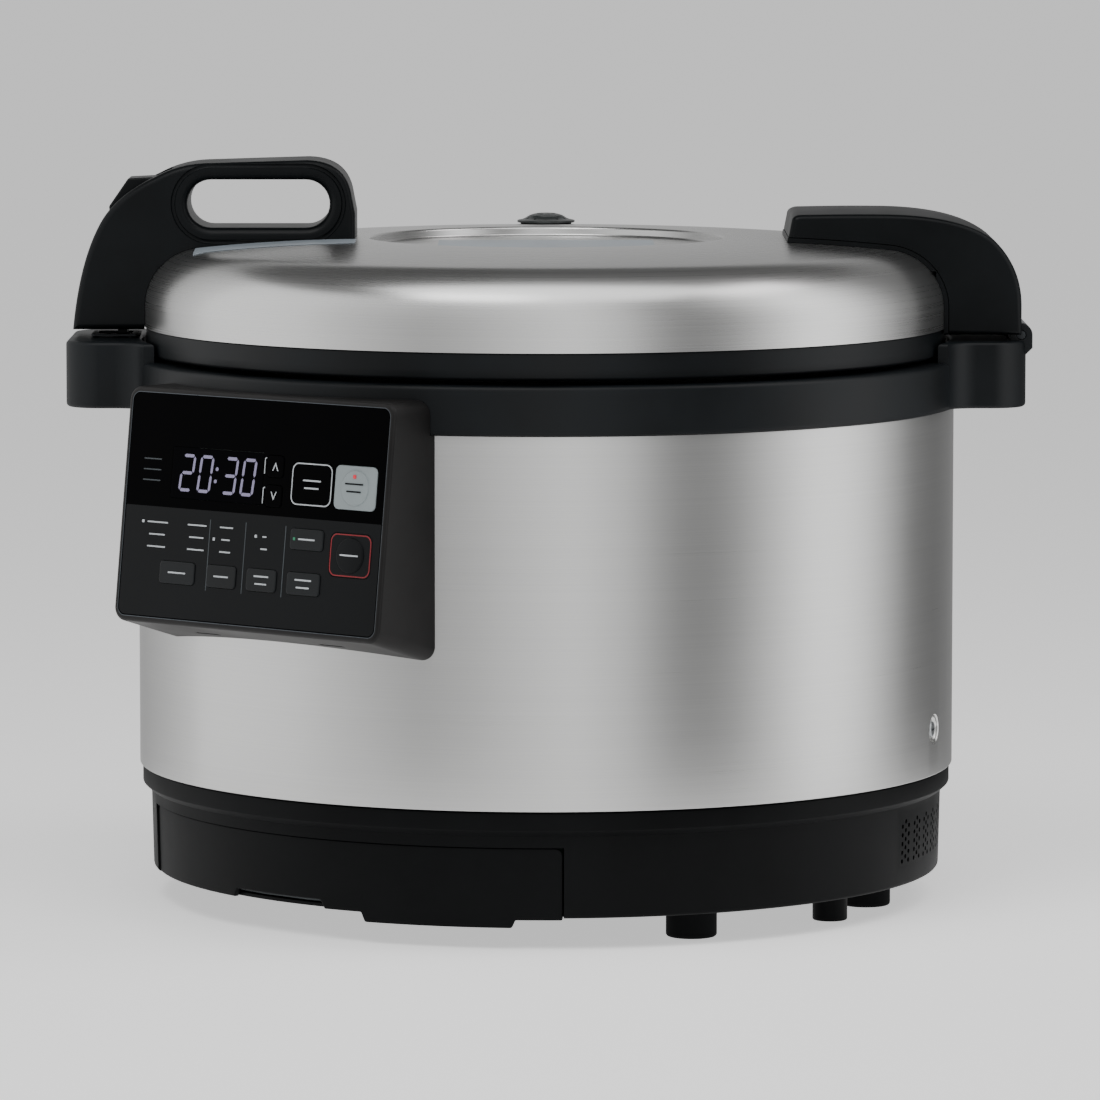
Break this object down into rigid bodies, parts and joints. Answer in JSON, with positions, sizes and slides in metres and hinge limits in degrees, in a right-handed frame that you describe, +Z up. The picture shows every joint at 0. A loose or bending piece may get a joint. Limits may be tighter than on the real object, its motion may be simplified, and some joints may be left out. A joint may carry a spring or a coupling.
{
  "type": "rice cooker",
  "caption": "Round free-standing rice cooker with a hinged steel dome lid, latch handle, carrying ears, pot and raised control panel.",
  "frame": {"origin": "middle of the whole object's box in plan, on the surface the feet stand on", "axes": "+Z up, +X from the lid's handle towards its hinge, -Y towards the viewer, with the panel at the front left"},
  "size_m": [0.5042, 0.4576, 0.388],
  "materials": {
    "black_plastic": "fine satin",
    "warm_black_plastic": "fine satin",
    "panel_black": "gloss",
    "display_glass": "gloss",
    "button_grey": "satin",
    "button_red": "satin",
    "button_silver": "satin",
    "brushed_skin": "brushed",
    "polished_pot": "polished",
    "zinc_steel": "plain",
    "bare_aluminium": "plain",
    "copper_coil": "lacquered wire",
    "ferrite": "sintered",
    "heat_proof_plastic": "plain",
    "silicone": "matt",
    "black_rubber": "matt",
    "circuit_board": "lacquered",
    "filter_mesh": "woven"
  },
  "bodies": {
    "cooker_body": {"base_wall": "black_plastic", "bottom_plate": "black_plastic", "foot_1": "black_rubber", "foot_2": "black_rubber", "foot_3": "black_rubber", "foot_4": "black_rubber", "foot_5": "black_rubber", "exhaust_grille": "black_plastic", "power_inlet": "black_rubber", "outer_skin": "brushed_skin", "skin_screw": "zinc_steel", "upper_ring": "black_plastic", "strike_plate": "zinc_steel", "inner_pot": "polished_pot", "coil_bowl": "heat_proof_plastic", "pot_well": "zinc_steel", "coil_inner": "copper_coil", "coil_outer": "copper_coil", "ferrite_star": "ferrite", "sensor_spring": "zinc_steel", "fan_frame": "black_plastic", "main_board": "circuit_board", "heat_sink": "bare_aluminium", "panel_housing": "warm_black_plastic", "panel_face": "panel_black", "display": "display_glass", "control_board": "circuit_board", "hinge_pin": "zinc_steel"},
    "lid": {"lid_dome": "brushed_skin", "lid_ring": "black_plastic", "lid_liner": "heat_proof_plastic", "inner_lid": "bare_aluminium", "lid_gasket": "silicone", "vent_seat": "black_plastic", "handle": "black_plastic", "latch_pin": "zinc_steel", "hinge_arm": "black_plastic", "hinge_trim": "warm_black_plastic", "hinge_bracket": "zinc_steel"},
    "latch": {"latch_lever": "black_plastic"},
    "vent": {"vent_cap": "black_plastic"},
    "intake": {"filter_cover": "black_plastic", "air_filter": "filter_mesh"},
    "fan": {"fan_rotor": "black_plastic"},
    "sensor": {"pot_sensor": "bare_aluminium"},
    "key_menu": {"button_menu": "button_grey"},
    "key_hardness": {"button_hardness": "button_grey"},
    "key_soak": {"button_soak": "button_grey"},
    "key_keep_warm": {"button_keep_warm": "button_grey"},
    "key_timer": {"button_timer": "button_grey"},
    "key_cancel": {"button_cancel": "button_red"},
    "key_quick": {"button_quick": "button_grey"},
    "key_start": {"button_start": "button_silver"},
    "key_hour_up": {"button_hour_up": "button_grey"},
    "key_hour_down": {"button_hour_down": "button_grey"}
  },
  "joints": [
    {"name": "lid_hinge", "type": "hinge", "parent": "cooker_body", "child": "lid", "pos_m": [0.2461, 0.01133, 0.2975], "axis": [0, 1, 0], "range_deg": [0, 85]},
    {"name": "latch_pivot", "type": "hinge", "parent": "lid", "child": "latch", "pos_m": [-0.2236, 0.01133, 0.3377], "axis": [0, 1, 0], "range_deg": [0, 7], "stiffness_Nm_per_rad": 0.6, "springref_deg": -8.59},
    {"name": "vent_lift", "type": "slide", "parent": "lid", "child": "vent", "axis": [0, 0, 1], "range_m": [0, 0.025]},
    {"name": "intake_pull", "type": "slide", "parent": "cooker_body", "child": "intake", "axis": [-0.6157, -0.788, 0], "range_m": [0, 0.04]},
    {"name": "fan_spin", "type": "hinge", "parent": "cooker_body", "child": "fan", "pos_m": [-0.08041, -0.08954, 0.035], "axis": [0, 0, 1], "continuous": true},
    {"name": "sensor_press", "type": "slide", "parent": "cooker_body", "child": "sensor", "axis": [0, 0, -1], "range_m": [0, 0.002], "stiffness_N_per_m": 400, "deforming": ["sensor_spring"]},
    {"name": "press_menu", "type": "slide", "parent": "cooker_body", "child": "key_menu", "axis": [0.6329, 0.765, -0.1193], "range_m": [0, 0.0008], "stiffness_N_per_m": 600},
    {"name": "press_hardness", "type": "slide", "parent": "cooker_body", "child": "key_hardness", "axis": [0.6329, 0.765, -0.1193], "range_m": [0, 0.0008], "stiffness_N_per_m": 600},
    {"name": "press_soak", "type": "slide", "parent": "cooker_body", "child": "key_soak", "axis": [0.6329, 0.765, -0.1193], "range_m": [0, 0.0008], "stiffness_N_per_m": 600},
    {"name": "press_keep_warm", "type": "slide", "parent": "cooker_body", "child": "key_keep_warm", "axis": [0.6329, 0.765, -0.1193], "range_m": [0, 0.0008], "stiffness_N_per_m": 600},
    {"name": "press_timer", "type": "slide", "parent": "cooker_body", "child": "key_timer", "axis": [0.6329, 0.765, -0.1193], "range_m": [0, 0.0008], "stiffness_N_per_m": 600},
    {"name": "press_cancel", "type": "slide", "parent": "cooker_body", "child": "key_cancel", "axis": [0.6329, 0.765, -0.1193], "range_m": [0, 0.0008], "stiffness_N_per_m": 600},
    {"name": "press_quick", "type": "slide", "parent": "cooker_body", "child": "key_quick", "axis": [0.6329, 0.765, -0.1193], "range_m": [0, 0.0008], "stiffness_N_per_m": 600},
    {"name": "press_start", "type": "slide", "parent": "cooker_body", "child": "key_start", "axis": [0.6329, 0.765, -0.1193], "range_m": [0, 0.0008], "stiffness_N_per_m": 600},
    {"name": "press_hour_up", "type": "slide", "parent": "cooker_body", "child": "key_hour_up", "axis": [0.6329, 0.765, -0.1193], "range_m": [0, 0.0008], "stiffness_N_per_m": 600},
    {"name": "press_hour_down", "type": "slide", "parent": "cooker_body", "child": "key_hour_down", "axis": [0.6329, 0.765, -0.1193], "range_m": [0, 0.0008], "stiffness_N_per_m": 600}
  ]
}
